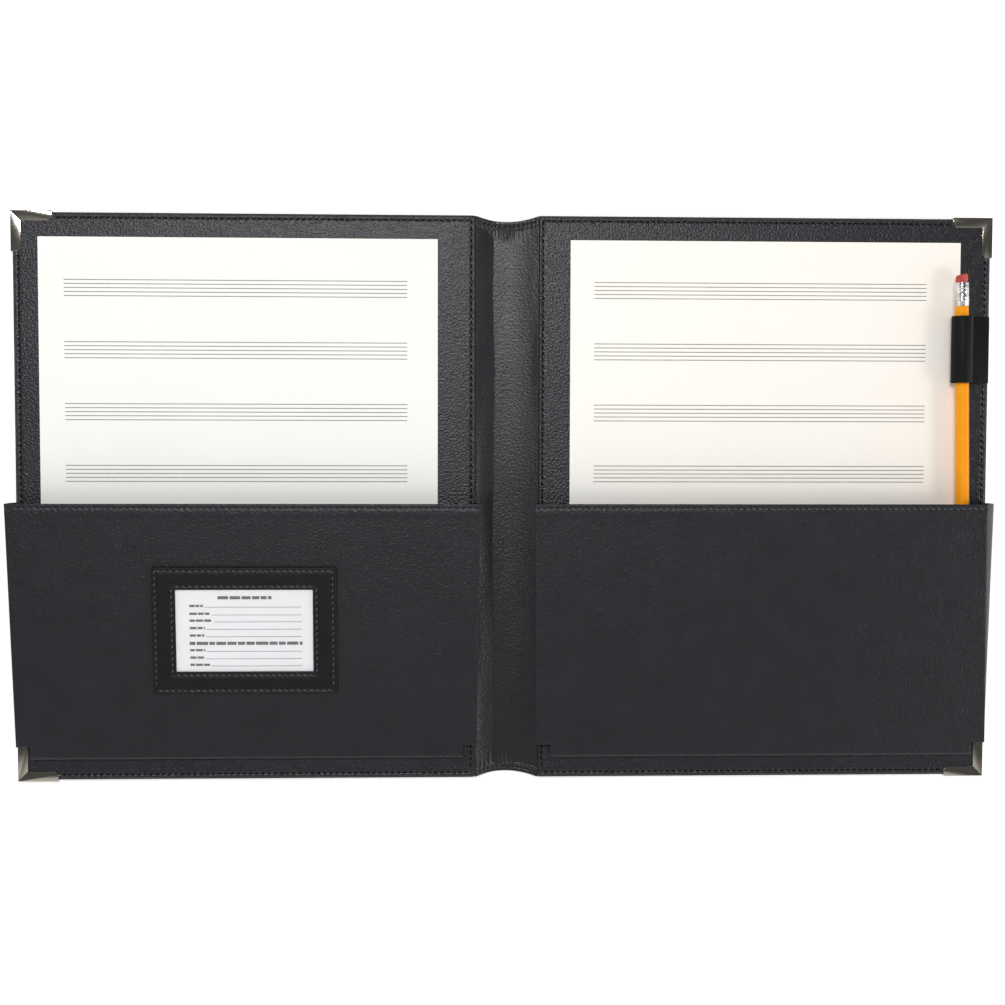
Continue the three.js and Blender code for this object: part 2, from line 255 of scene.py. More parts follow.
def metal(name, bright, dull, rough, brush):
    """Plated metal with fine brush lines, light rubbing and faint tarnish."""
    s = Shader(name)
    stretched = s.node("ShaderNodeMapping", Vector=s.place(), Scale=brush)
    lines = s.noise(1.0, 4.0, 0.6, stretched.outputs["Vector"])
    rub = s.noise(140.0, 4.0, 0.65)
    colour = s.mix(s.spread(rub, 0.4, 0.7, 0.0, 1.0), bright, dull)
    roughness = s.spread(s.math("ADD", lines, rub), 0.6, 1.4, *rough)
    return s.surface(
        Base_Color=colour, Metallic=1.0, Roughness=roughness,
        Normal=s.bump(lines, 0.000004, 0.3),
    )


def paint(name, colour, worn, rough):
    """A hard coat, unevenly worn, with small dents."""
    s = Shader(name)
    mottle = s.noise(160.0, 4.0, 0.6)
    dent = s.noise(700.0, 3.0, 0.5)
    shade = s.mix(s.spread(mottle, 0.45, 0.8, 0.0, 0.6), colour, worn)
    return s.surface(
        Base_Color=shade, Roughness=s.spread(dent, 0.3, 0.7, *rough),
        Normal=s.bump(dent, 0.00005, 0.3), Specular_IOR_Level=0.25,
    )


def wood(name):
    s = Shader(name)
    stretched = s.node("ShaderNodeMapping", Vector=s.place(), Scale=(1800.0, 90.0, 1800.0))
    grain = s.noise(1.0, 5.0, 0.65, stretched.outputs["Vector"])
    colour = s.mix(s.spread(grain, 0.3, 0.7, 0.0, 1.0), rgb(226, 186, 136), rgb(182, 132, 84))
    return s.surface(
        Base_Color=colour, Roughness=s.spread(grain, 0.3, 0.7, 0.55, 0.8),
        Normal=s.bump(grain, 0.00008, 0.5),
    )


def rubber(name):
    s = Shader(name)
    crumb = s.noise(1400.0, 5.0, 0.7)
    smudge = s.noise(350.0, 3.0, 0.5)
    colour = s.mix(s.spread(smudge, 0.4, 0.75, 0.0, 1.0), rgb(192, 88, 80), rgb(166, 66, 62))
    return s.surface(
        Base_Color=colour, Roughness=s.spread(crumb, 0.3, 0.7, 0.7, 0.95),
        Normal=s.bump(crumb, 0.0001, 0.5), Specular_IOR_Level=0.25,
    )


def grey_board(name):
    s = Shader(name)
    fibre = s.noise(900.0, 6.0, 0.7)
    colour = s.mix(fibre, rgb(84, 78, 72), rgb(132, 124, 114))
    return s.surface(
        Base_Color=colour, Roughness=s.spread(fibre, 0.3, 0.7, 0.8, 0.98),
        Normal=s.bump(fibre, 0.0001, 0.6),
    )


def clear_film(name):
    """Thin clear film: see-through, with a rippled gloss."""
    s = Shader(name)
    ripple = s.noise(70.0, 4.0, 0.6)
    scuff = s.noise(900.0, 5.0, 0.7)
    normal = s.bump(ripple, 0.0006, 0.3)
    gloss = s.node("ShaderNodeBsdfGlossy", Color=(1.0, 1.0, 1.0, 1.0), Normal=normal)
    s.put(gloss, "Roughness", s.spread(scuff, 0.3, 0.7, 0.04, 0.16))
    clear = s.node("ShaderNodeBsdfTransparent", Color=(0.998, 0.998, 0.999, 1.0))
    edge = s.node("ShaderNodeLayerWeight", Blend=0.12, Normal=normal)
    amount = s.spread(edge.outputs["Fresnel"], 0.0, 1.0, 0.0, 0.6)
    mixed = s.node("ShaderNodeMixShader", Fac=amount)
    s.put(mixed, "i1", clear.outputs[0])
    s.put(mixed, "i2", gloss.outputs[0])
    return s.shown(mixed.outputs[0])


COVER_LEATHER = leather(
    "cover_leather", (0.002, 0.0021, 0.004, 1), (0.009, 0.0096, 0.015, 1), 1.0, (0.33, 0.40), 0.5,
)
BACK_LEATHER = leather(
    "back_leather", (0.004, 0.0041, 0.005, 1), (0.013, 0.0133, 0.016, 1), 1.6, (0.40, 0.52),
)
POCKET_LEATHER = leather(
    "pocket_leather", (0.002, 0.0021, 0.0038, 1), (0.008, 0.0084, 0.013, 1), 0.9, (0.36, 0.46), 0.45,
)
FRAME_LEATHER = leather(
    "frame_leather", (0.002, 0.002, 0.0025, 1), (0.006, 0.0062, 0.0075, 1), 0.7, (0.4, 0.5), 0.25,
)
SPINE_LEATHER = leather(
    "spine_leather", (0.002, 0.0021, 0.0035, 1), (0.008, 0.0085, 0.0125, 1), 0.6, (0.33, 0.42), 0.5,
)
# Painted shade: a darker copy of the leather for the pencil loop and its tab, standing in for the shade
# that lies on them.
SHADE_DARKENED_LOOP_LEATHER = leather(
    "loop_leather_painted_shade", (0.002, 0.002, 0.0022, 1), (0.005, 0.005, 0.0055, 1), 0.5, (0.5, 0.6), 0.15,
)
# Partly painted shade: the thread is dark, and it is made near black to stand in for the shade in its
# stitch holes.
SHADE_DARKENED_THREAD = thread("sewing_thread", rgb(3, 3, 4), rgb(12, 12, 14), 0.08)
# Painted highlight: the dark hem thread's turns are painted light grey where they would catch the
# light.
HIGHLIGHT_PAINTED_THREAD = thread("hem_thread", rgb(34, 34, 38), rgb(104, 105, 112), 0.3)
# Painted shade: both pages are painted darker and warmer towards the right, and the right page more so
# than the left.
LEFT_PAPER = page("left_paper", rgb(254, 254, 250), rgb(253, 252, 247), -253.9, -38.0)
RIGHT_PAPER = page("right_paper", rgb(254, 252, 246), rgb(251, 245, 236), 34.5, 250.5)
STAVE_INK = ink("stave_ink", rgb(120, 119, 118))
# Painted shade: the card too is painted slightly darker towards the right.
CARD_PAPER = page("card_stock", rgb(252, 252, 254), rgb(248, 248, 251), -190.0, -95.0)
CARD_INK = ink("card_ink", rgb(92, 92, 96))
NICKEL = metal(
    "nickel_plate", rgb(216, 209, 197), rgb(208, 200, 188), (0.08, 0.13), (300.0, 300.0, 300.0),
)
FERRULE_METAL = metal(
    "ferrule_metal", rgb(226, 226, 224), rgb(176, 174, 172), (0.14, 0.3), (2400.0, 60.0, 2400.0),
)
PENCIL_PAINT = paint("pencil_paint", rgb(246, 156, 4), rgb(236, 144, 4), (0.4, 0.5))
PENCIL_WOOD = wood("pencil_wood")
ERASER_RUBBER = rubber("eraser_rubber")
GRAPHITE = paint("graphite", rgb(44, 44, 48), rgb(62, 62, 66), (0.3, 0.5))
BOARD = grey_board("grey_board")
FILM = clear_film("clear_film")


# Mesh building
def smoothed(mesh, sharp):
    """Smooth shading, with crisp edges where they are sharper than an angle."""
    mesh.shade_smooth()
    mesh.set_sharp_from_angle(angle=math.radians(sharp))


def linked(name, mesh, material):
    """A mesh put into the scene as a piece."""
    mesh.materials.append(material)
    piece = bpy.data.objects.new(name, mesh)
    scene.collection.objects.link(piece)
    return piece


def add_piece(name, points, faces, material, slot, sharp=50.0):
    """A piece from points in millimetres."""
    mesh = bpy.data.meshes.new(name)
    mesh.from_pydata([tuple(p) for p in np.asarray(points, float) * MM], [], faces)
    mesh.validate()
    smoothed(mesh, sharp)
    return linked(name, mesh, material)


def placed(matrix, points):
    return [tuple(matrix @ Vector(p)) for p in points]


def modified(piece, sharp):
    """Applies a piece's modifiers to its mesh."""
    graph = bpy.context.evaluated_depsgraph_get()
    mesh = bpy.data.meshes.new_from_object(piece.evaluated_get(graph))
    piece.modifiers.clear()
    piece.data = mesh
    smoothed(mesh, sharp)


def bevelled(piece, width, segments, limit):
    """Adds a bevel to the edges that turn by more than an angle."""
    bevel = piece.modifiers.new("eased_edges", "BEVEL")
    bevel.width = width * MM
    bevel.segments = segments
    bevel.limit_method = "ANGLE"
    bevel.angle_limit = math.radians(limit)


def thickened(piece, thickness, edge):
    """Makes a surface as thick as its material, downwards from its face, with eased edges."""
    solid = piece.modifiers.new("thickness", "SOLIDIFY")
    solid.thickness = thickness * MM
    solid.offset = -1
    bevelled(piece, edge, 2, 45)
    modified(piece, 50)


def grid(rows, columns, closed=False, keep=None):
    """The quads of a grid of points, numbered row by row."""
    across = columns if closed else columns - 1
    faces = []
    for r in range(rows - 1):
        low, high = r * columns, (r + 1) * columns
        for c in range(across):
            if keep is None or keep(r, c):
                d = (c + 1) % columns
                faces.append((low + c, low + d, high + d, high + c))
    return faces


def ends(rows, columns):
    """The two faces that close a tube of so many rows."""
    last = (rows - 1) * columns
    return [tuple(range(columns)), tuple(range(last, last + columns))]


def smooth(value, low, high):
    """A soft step from 0 to 1 while the value goes from low to high."""
    t = np.clip((np.asarray(value, float) - low) / (high - low), 0, 1)
    return t * t * (3 - 2 * t)


def rounded_rectangle(low, high, radius, parts):
    """Points round a rectangle, anticlockwise, as many on each side for any inset.

    Its sides along X and along Y are divided into the given numbers of parts.
    """
    (x0, y0), (x1, y1) = low, high
    arc = 5
    turns = []
    for (x, y), start in (((x1, y0), -90), ((x1, y1), 0), ((x0, y1), 90), ((x0, y0), 180)):
        cx = x - radius if x == x1 else x + radius
        cy = y - radius if y == y1 else y + radius
        angles = [math.radians(start + 90 * k / arc) for k in range(arc + 1)]
        turns.append([(cx + radius * math.cos(a), cy + radius * math.sin(a)) for a in angles])
    points = []
    for k, turn in enumerate(turns):
        (ax, ay), (bx, by) = turn[-1], turns[(k + 1) % 4][0]
        count = parts[1 - k % 2]
        shares = [j / count for j in range(1, count)]
        points += turn
        points += [(ax + (bx - ax) * share, ay + (by - ay) * share) for share in shares]
    return np.array(points)


def stitch_beat(along):
    """1 in the middle of each stitch of a row and 0 between two of them."""
    return 0.5 + 0.5 * np.cos(2 * np.pi * along / STITCH_PITCH)


def seam_pull(x, y, low, high):
    """How far each stitch of a row round a rectangle draws the cloth down, from 0 to 1."""
    reach = 0.64
    from_x = np.minimum(x - low[0], high[0] - x)
    from_y = np.minimum(y - low[1], high[1] - y)
    inset = np.minimum(from_x, from_y)
    along = np.where(from_y <= from_x, x, y)
    return np.exp(-((inset - SEAM_INSET) / reach) ** 2) * stitch_beat(along)


def sewn_panel(name, low, high):
    """A cover's inner panel, with a rolled edge and a row of sewing pressed in round it."""
    radius, spacing, flat_from = 2.2, 0.85, 0.6
    groove_depth, groove_reach, pull_depth = 0.07, 0.55, 0.32
    thick = COVER_FACE - LINING_BACK
    profile = [(0.5, 0.0), (0.15, 0.05), (0.0, 0.35), (0.08, 0.68), (0.3, 0.88), (0.7, 0.99)]
    profile += [(inset, 1.0) for inset in (1.1, 1.5, 1.85, 2.2, 2.55, 2.9, 3.4, 4.2, 6.0)]
    parts = (int((high[0] - low[0]) / spacing), int((high[1] - low[1]) / spacing))
    rings = []
    for inset, rise in profile:
        inner_low = (low[0] + inset, low[1] + inset)
        inner_high = (high[0] - inset, high[1] - inset)
        flat = rounded_rectangle(inner_low, inner_high, max(radius - inset, 0.15), parts)
        height = np.full(len(flat), LINING_BACK + rise * thick)
        if inset > flat_from:
            groove = math.exp(-((inset - SEAM_INSET) / groove_reach) ** 2)
            pull = seam_pull(flat[:, 0], flat[:, 1], low, high)
            height -= groove_depth * groove + pull_depth * pull
        rings.append(np.column_stack([flat, height]))
    count = len(rings[0])
    under, over = ends(len(rings), count)
    faces = grid(len(rings), count, closed=True) + [under[::-1], over]
    return add_piece(name, np.vstack(rings), faces, COVER_LEATHER, "leatherette")


def stitch_mesh(rows, width):
    """Threads as small tapered rolls. Each has a middle, a direction and an up vector."""
    profile = [(-0.5, 0.30), (-0.36, 0.78), (-0.12, 1.0), (0.12, 1.0), (0.36, 0.78), (0.5, 0.30)]
    around, end_sink, flatness = 6, 0.20, 0.7
    roll = grid(len(profile), around, closed=True)
    first, last = ends(len(profile), around)
    roll += [first[::-1], last]
    points, faces = [], []
    for middle, along, up in rows:
        side = np.cross(up, along)
        faces += [tuple(len(points) + i for i in face) for face in roll]
        for share, girth in profile:
            sink = -end_sink * (2 * abs(share)) ** 2
            centre = middle + along * STITCH_LENGTH * share + up * sink
            for k in range(around):
                angle = 2 * math.pi * k / around
                spoke = (side * math.cos(angle) + up * math.sin(angle) * flatness) * width
                points.append(centre + spoke * girth * 0.5)
    return points, faces


def stitches_between(a, b, up, axis, slant, skip=()):
    """Stitches on a line that runs up an axis, placed on multiples of the pitch along it.

    None is set where its place on the axis lies within one of the spans to skip.
    """
    a, b, up = np.array(a, float), np.array(b, float), np.array(up, float)
    along = (b - a) / np.linalg.norm(b - a)
    turned = along * math.cos(slant) + np.cross(up, along) * math.sin(slant)
    first = np.ceil(a[axis] / STITCH_PITCH) + 0.5
    rows = []
    for place in np.arange(first, b[axis] / STITCH_PITCH, 1.0) * STITCH_PITCH - a[axis]:
        middle = a + along * place
        if not any(low <= middle[axis] <= high for low, high in skip):
            rows.append((middle, turned, up))
    return rows


def add_stitches(name, rows, body, material=SHADE_DARKENED_THREAD, width=STITCH_WIDTH):
    piece = add_piece(name, *stitch_mesh(rows, width), material, "leatherette")
    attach(piece, body)


# Outer skin
SKIN = 1.0
EDGE_RISE = 4.0


def hem_dip(x):
    """How far the soft spine's hem is drawn in from the covers' edge."""
    t = (np.clip(x, -SPINE_HALF, SPINE_HALF) + SPINE_HALF) / (2 * SPINE_HALF)
    return 4 * SPINE_DIP * t * (1 - t)


def wrap_section(wall, half):
    """The wrap's section as (across, height), closed, with its edge turned up and rounded."""
    bend, edge = min(1.2, wall), 0.45
    ease, ease_drop = 0.13, 0.12
    points = []
    for k in range(5):
        angle = math.radians(-90 + 90 * k / 4)
        points.append((half - bend + bend * math.cos(angle), bend + bend * math.sin(angle)))
    points += [
        (half, max(bend, wall - edge)), (half - ease, wall - ease_drop), (half - edge, wall),
        (half - (SKIN - ease), wall - ease_drop), (half - SKIN, max(wall - edge, SKIN - 0.02)),
        (half - SKIN - 0.01, min(SKIN, wall)),
    ]
    return points + [(-y, h) for y, h in reversed(points)]


def outer_skin(side, name, body):
    """Half of the wrap: from the middle of the spine, over the back and up the edges."""
    turn, steps = 1.4, 6
    near_hinge, near_step, far_step = 24, 0.5, 0.85
    flat_end = OUTER_X - turn
    flat = [*np.arange(0, near_hinge, near_step), *np.arange(near_hinge, flat_end, far_step), flat_end]
    path = []
    for x in flat:
        level = COVER_BACK * float(smooth(x, 15.0, 20.5))
        wall = SKIN + (EDGE_RISE - SKIN) * float(smooth(x, 17.3, 18.2))
        path.append(((x, level), (0.0, 1.0), wall, HALF_HEIGHT - float(hem_dip(x))))
    for k in range(1, steps + 1):
        angle = math.radians(-90 + 90 * k / steps)
        at = (flat_end + turn * math.cos(angle), COVER_BACK + turn + turn * math.sin(angle))
        wall = EDGE_RISE - (EDGE_RISE - SKIN) * k / steps
        path.append((at, (-math.cos(angle), -math.sin(angle)), wall, HALF_HEIGHT))
    for level in (2.6, 3.3, LINING_BACK - 0.5, LINING_BACK - 0.15):
        path.append(((OUTER_X, level), (-1.0, 0.0), SKIN, HALF_HEIGHT))
    path.append(((OUTER_X - 0.2, LINING_BACK), (-1.0, 0.0), 0.6, HALF_HEIGHT))
    rows = []
    for (px, pz), (nx, nz), wall, half in path:
        for y, h in wrap_section(wall, half):
            rows.append((side * (px + nx * h), y, pz + nz * h))
    columns = len(rows) // len(path)
    first, last = ends(len(path), columns)
    faces = grid(len(path), columns, closed=True) + [first, last[::-1]]
    if side > 0:
        faces = [tuple(reversed(f)) for f in faces]
    piece = add_piece(name, rows, faces, BACK_LEATHER, "leatherette")
    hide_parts(f"{body}_skin", "spine_skin")
    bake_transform(piece)


for side, body in COVERS:
    outer_skin(side, f"{body}_wrap", body)


# Linings
LINING_INSET = 0.8
CORNER_REACH = 21.5
STITCH_SINK = 0.16
BACK_STITCH_OUT = 0.02


def cover_seam(side, low, high, z, up):
    """The stitches round a cover's inner panel, which stop short of its metal corners."""
    x0, y0 = low[0] + SEAM_INSET, low[1] + SEAM_INSET
    x1, y1 = high[0] - SEAM_INSET, high[1] - SEAM_INSET
    outer_x, hinge_x = (x0, x1) if side < 0 else (x1, x0)
    beyond_x, beyond_y = OUTER_X - CORNER_REACH, HALF_HEIGHT - CORNER_REACH
    skip_x = [(-OUTER_X, -beyond_x), (beyond_x, OUTER_X)]
    skip_y = [(-HALF_HEIGHT, -beyond_y), (beyond_y, HALF_HEIGHT)]
    rows = []
    for y in (y0, y1):
        rows += stitches_between((x0, y, z), (x1, y, z), up, 0, SEAM_SLANT, skip_x)
    rows += stitches_between((outer_x, y0, z), (outer_x, y1, z), up, 1, SEAM_SLANT, skip_y)
    rows += stitches_between((hinge_x, y0, z), (hinge_x, y1, z), up, 1, SEAM_SLANT)
    return rows


def cover_lining(side, body):
    """A cover's inner panel, and its sewing as it shows there and on the back."""
    near, far = side * HINGE_X, side * (OUTER_X - LINING_INSET)
    low = (min(near, far), -HALF_HEIGHT + LINING_INSET)
    high = (max(near, far), HALF_HEIGHT - LINING_INSET)
    piece = sewn_panel(f"{body}_panel", low, high)
    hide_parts(f"{body}_lining")
    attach(piece, body)
    front = cover_seam(side, low, high, COVER_FACE - STITCH_SINK, (0, 0, 1))
    add_stitches(f"{body}_seam", front, body)
    back = cover_seam(side, low, high, COVER_BACK - BACK_STITCH_OUT, (0, 0, -1))
    add_stitches(f"{body}_back_seam", back, body)


for side, body in COVERS:
    cover_lining(side, body)


def spine_level(x):
    """The cloth's face across the spine: a shallow gutter, lowest left of the middle."""
    rim, floor, lowest = COVER_FACE - 0.4, 1.8, -6.0
    round_off, left_power, right_power = 1.6, 1.15, 2.0
    away = np.asarray(x, float) - lowest
    reach = np.where(away < 0, SPINE_HALF + lowest, SPINE_HALF - lowest)
    soft = np.sqrt(away ** 2 + round_off ** 2) - round_off
    limit = np.sqrt(reach ** 2 + round_off ** 2) - round_off
    power = np.where(away < 0, left_power, right_power)
    return floor + (rim - floor) * (soft / limit) ** power


def cloth_level(x, y, depth):
    """The cloth's face, with its hem, sewing, puckers, crease and waves.

    The depth is how far the place is from the hem's edge.
    """
    hem = 0.28 * (1 - float(smooth(depth, 4.6, 5.4)))
    groove = 0.30 * math.exp(-((depth - HEM_SEAM) / 0.5) ** 2)
    middle = math.exp(-((x + 2.0) / 7.0) ** 2)
    ripple = math.cos(2 * math.pi * x / 2.3 + 0.6 * math.sin(x * 1.7))
    pucker = 0.34 * middle * ripple * math.exp(-((depth - 7.5) / 4.0) ** 2)
    pucker += 0.16 * ripple * math.exp(-((depth - 3.0) / 3.0) ** 2)
    crease = -0.25 * math.exp(-((x + 6.2) / 1.6) ** 2) * float(smooth(depth, 3, 14))
    wave = 0.12 * math.sin(y / 23.0 + x / 9.0) + 0.08 * math.sin(y / 11.0 - x / 6.0)
    wave *= float(smooth(SPINE_HALF - abs(x), 0.0, 4.0)) * float(smooth(depth, 2, 12))
    return float(spine_level(x)) + hem - groove + pucker + crease + wave


def spine_hem_seam():
    """Stitches that follow the gutter across both hems of the spine's cloth."""
    seam_in, step, face_gap = 2.75, 0.1, 0.06

    def place(x, end):
        y = end * (HALF_HEIGHT - float(hem_dip(x)) - seam_in)
        return np.array([x, y, float(spine_level(x)) + face_gap])

    seams = []
    for end in (-1, 1):
        for x in np.arange(-SPINE_HALF + 2, SPINE_HALF - 1, STITCH_PITCH * 0.8):
            along = place(x + step, end) - place(x, end)
            along /= np.linalg.norm(along)
            up = np.cross(along, (0, 1, 0))
            up = up if up[2] > 0 else -up
            seams.append((place(x, end), along, up / np.linalg.norm(up)))
    add_stitches("spine_hem_seam", seams, "spine", SHADE_DARKENED_THREAD, HEM_STITCH_WIDTH)


def spine_lining():
    """The spine's soft cloth, with doubled hems drawn into puckers."""
    near_hem, lowest_face, thickness = 26, 1.75, 0.55
    xs = np.linspace(-SPINE_HALF, SPINE_HALF, 71)
    from_edge = np.concatenate([np.arange(0, near_hem, 0.55), np.linspace(near_hem, HALF_HEIGHT, 30)])
    ts = np.concatenate([-1 + from_edge / HALF_HEIGHT, (1 - from_edge / HALF_HEIGHT)[::-1][1:]])
    rows = []
    for t in ts:
        depth = (1 - abs(t)) * HALF_HEIGHT
        for x in xs:
            reach = HALF_HEIGHT - float(hem_dip(x)) * (1 - min(depth / 40, 1)) - 0.15
            y = math.copysign(reach - depth * reach / HALF_HEIGHT, t) if t else 0.0
            rows.append((x, y, max(cloth_level(x, y, depth), lowest_face)))
    piece = add_piece("spine_lining_cloth", rows, grid(len(ts), len(xs)), SPINE_LEATHER, "leatherette")
    thickened(piece, thickness, 0.2)
    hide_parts("spine_lining")
    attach(piece, "spine")
    spine_hem_seam()


spine_lining()


# Pockets
def filleted(before, corner, after, radius, steps):
    """A line through three points, with its corner rounded."""
    u, v = before - corner, after - corner
    lu, lv = np.linalg.norm(u), np.linalg.norm(v)
    u, v = u / lu, v / lv
    half = math.acos(float(np.clip(u @ v, -1, 1))) / 2
    reach = min(radius / math.tan(half), lu * 0.49, lv * 0.49)
    start, end = corner + u * reach, corner + v * reach
    line = [before]
    for t in (k / steps for k in range(steps + 1)):
        line.append(start * (1 - t) ** 2 + corner * 2 * t * (1 - t) + end * t * t)
    return line + [after]


def even(points, step):
    """The same line with its long stretches divided."""
    out = [points[0]]
    for a, b in zip(points, points[1:]):
        parts = max(1, int(np.linalg.norm(b - a) / step))
        out += [a + (b - a) * k / parts for k in range(1, parts + 1)]
    return out


FOLD_RADIUS = 3.4
CORNER_RADIUS = 1.5
GUSSET_STEPS = 10
FRONT_STEPS = 200
HINGE_FLARE_MOUTH = 3.0
HINGE_FLARE_FOLD = 1.0
HINGE_BOW = 0.5
NOTCH_UP = FOLD_UP + 6.0
OUTER_NOTCH_UP = 22.5
HINGE_NOTCH = 6.5
OUTER_NOTCH = 7.5


def pocket_levels():
    """Rows down the front panel, round its fold and along the bottom.

    Each is (up the page, off the cover). The number of the first row past the panel follows.
    """
    points = np.array([(MOUTH_UP, MOUTH_DEPTH), (FOLD_UP, FOLD_DEPTH), (SEAM_UP, SEAM_OFF)])
    path = filleted(*points, FOLD_RADIUS, 8)
    mouth, fold = path[:2]
    levels = [mouth]
    for offset in (0.15, 0.4, 0.8, 1.4, 1.8, 2.2, 2.6, 3.0, 3.4, 4.2, 5.4, 6.7, 7.0, 7.3, 8.0):
        levels.append(mouth + (fold - mouth) * offset / np.linalg.norm(fold - mouth))
    levels += even([levels[-1], fold], 2.5)[1:]
    turn_start = len(levels) - 1
    return levels + path[2:-1] + even(path[-2:], 0.8)[1:], turn_start


def pocket_section(down, flare, bow_out):
    """The sheet's line across the pocket, as (out from the hinge, off the cover).

    The share of the way down from the mouth to the fold says where. The numbers of the
    front panel's first and last points follow.
    """
    straight = MOUTH_DEPTH + (FOLD_DEPTH - MOUTH_DEPTH) * down
    hinge_flare = HINGE_FLARE_MOUTH + (HINGE_FLARE_FOLD - HINGE_FLARE_MOUTH) * down
    hinge_part, outer_part = [], []
    for k in range(GUSSET_STEPS):
        rise = k / GUSSET_STEPS
        bow = math.sin(math.pi * rise) * (1 - down)
        lift = SEAM_OFF + (straight - SEAM_OFF) * rise
        outer = COVER_WIDTH + flare * rise * (1 - down) + bow_out * bow
        hinge_part.append(np.array((-hinge_flare * rise - HINGE_BOW * bow, lift)))
        outer_part.insert(0, np.array((outer, lift)))
    near = np.array((-hinge_flare, straight))
    far = np.array((COVER_WIDTH + flare * (1 - down), straight))
    near_arc = filleted(hinge_part[-1], near, far, CORNER_RADIUS, 6)[1:-1]
    far_arc = filleted(near, far, outer_part[0], CORNER_RADIUS, 6)[1:-1]
    a, b = near_arc[-1], far_arc[0]
    span = [a + (b - a) * k / FRONT_STEPS for k in range(1, FRONT_STEPS)]
    line = hinge_part + near_arc + span + far_arc + outer_part
    return line, len(hinge_part), len(line) - len(outer_part) - 1


def front_face(lift, from_mouth, out, share):
    """The front panel's face, with its hem, rounded lip, sewing and slight sag."""
    hem = 0.12 * (1 - float(smooth(from_mouth, 6.6, 7.4)))
    lip = -0.35 * math.exp(-(from_mouth / 0.35) ** 2)
    sewn = math.exp(-((from_mouth - HEM_SEAM) / 0.6) ** 2) * (0.08 + 0.3 * float(stitch_beat(out)))
    uneven = 0.5 + 0.5 * math.sin(share * 9)
    sag = -0.5 * math.sin(math.pi * share) * math.exp(-(from_mouth / 60) ** 2) * uneven
    return lift + hem + lip - sewn + sag * 0.35


def pocket(side, name, body, flare, bow_out):
    """One sheet folded to a front panel, two gussets and a bottom, open at the mouth.

    At the mouth its outer gusset leans out by the flare and bulges by the bow.
    """
    levels, turn_start = pocket_levels()
    rows = []
    for row, (up, off) in enumerate(levels):
        down = min(max((MOUTH_UP - up) / (MOUTH_UP - FOLD_UP), 0.0), 1.0)
        line, first, last = pocket_section(down, flare, bow_out)
        for index, (out, lift) in enumerate(line):
            if row > turn_start:
                lift = off
            elif first <= index <= last:
                lift = front_face(lift, MOUTH_UP - up, out, (index - first) / (last - first))
            rows.append((side * (HINGE_X + out), up - HALF_HEIGHT, COVER_FACE + lift))
    columns = len(line)

    def keep(r, c):
        """Whether a quad is part of the sheet, and not cut away by a notch."""
        x, x_next = (abs(rows[r * columns + k][0]) - HINGE_X for k in (c, c + 1))
        up = rows[(r + 1) * columns + c][1] + HALF_HEIGHT
        outer_notch_up = NOTCH_UP if first <= c <= last else OUTER_NOTCH_UP
        if (r >= turn_start or up < NOTCH_UP) and min(x, x_next) < HINGE_NOTCH:
            return False
        low = r >= turn_start or up < outer_notch_up
        return not (low and max(x, x_next) > COVER_WIDTH - OUTER_NOTCH)

    faces = grid(len(levels), columns, keep=keep)
    used = sorted({i for f in faces for i in f})
    renumber = {old: new for new, old in enumerate(used)}
    faces = [tuple(renumber[i] for i in f) for f in faces]
    if side > 0:
        faces = [tuple(reversed(f)) for f in faces]
    piece = add_piece(name, [rows[i] for i in used], faces, POCKET_LEATHER, "leatherette")
    thickened(piece, POCKET_WALL, 0.22)
    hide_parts(name.replace("_sleeve", ""))
    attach(piece, body)
    up_dir = (0.0, -math.sin(PANEL_SLOPE), math.cos(PANEL_SLOPE))
    y = MOUTH_UP - HEM_SEAM * math.cos(PANEL_SLOPE) - HALF_HEIGHT
    z = COVER_FACE + MOUTH_DEPTH - HEM_SEAM * math.sin(PANEL_SLOPE) + 0.06
    xs = sorted((side * (HINGE_X - 1.0), side * (OUTER_X + flare - 2.0)))
    seam = stitches_between((xs[0], y, z), (xs[1], y, z), up_dir, 0, HEM_SLANT)
    add_stitches(f"{name}_seam", seam, body, HIGHLIGHT_PAINTED_THREAD, HEM_STITCH_WIDTH)


pocket(-1, "left_pocket_sleeve", "left_cover", 2.2, 0.6)
pocket(1, "right_pocket_sleeve", "right_cover", -4.5, 4.0)


# Pages
PAGE_WIDTH = 215.9
PAGE_HEIGHT = 279.4
PAGE_UP = 17.3
SHEET_SEAT = 0.3
SHEAF = 0.5
LEAVES = 5
LEAF = 0.085
STAVES = 8
STAVE_PITCH = 33.5
LINE_PITCH = 2.17
LINE_HALF = 0.23


def page_stack(side, name, body, hinge_margin, material):
    """A few leaves, each a little out of line with the next.

    Gives the left edge, the top edge and the face of the uppermost one.
    """
    rng = np.random.default_rng(11 + side)
    near = side * (HINGE_X + hinge_margin)
    x0, x1 = sorted((near, near + side * PAGE_WIDTH))
    y0 = PAGE_UP - HALF_HEIGHT
    y1 = y0 + PAGE_HEIGHT
    inset, far_inset = 0.35, 0.02
    columns, lines = 60, 70
    count = columns * lines
    flat = grid(lines, columns)
    rim = list(range(columns))
    rim += [r * columns + columns - 1 for r in range(1, lines)]
    rim += [(lines - 1) * columns + k for k in range(columns - 2, -1, -1)]
    rim += [r * columns for r in range(lines - 2, 0, -1)]
    points, faces = [], []
    for leaf in range(LEAVES):
        shift = (0.0, 0.0) if leaf == LEAVES - 1 else rng.uniform(-0.35, 0.0, 2)
        level = COVER_FACE + SHEET_SEAT + leaf * SHEAF / LEAVES
        xs = np.linspace(x0 + inset + shift[0], x1 - far_inset + shift[0], columns)
        ys = np.linspace(y0 + inset + shift[1], y1 - far_inset + shift[1], lines)
        start = len(points)
        points += [(x, y, level + thickness) for thickness in (0.0, LEAF) for y in ys for x in xs]
        faces += [tuple(start + i for i in reversed(f)) for f in flat]
        faces += [tuple(start + count + i for i in f) for f in flat]
        for a, b in zip(rim, rim[1:] + rim[:1]):
            faces.append((start + a, start + b, start + count + b, start + count + a))
    piece = add_piece(name, points, faces, material, "paper", 30)
    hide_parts(name.replace("pages", "sheets"))
    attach(piece, body)
    return x0, y1, level + LEAF


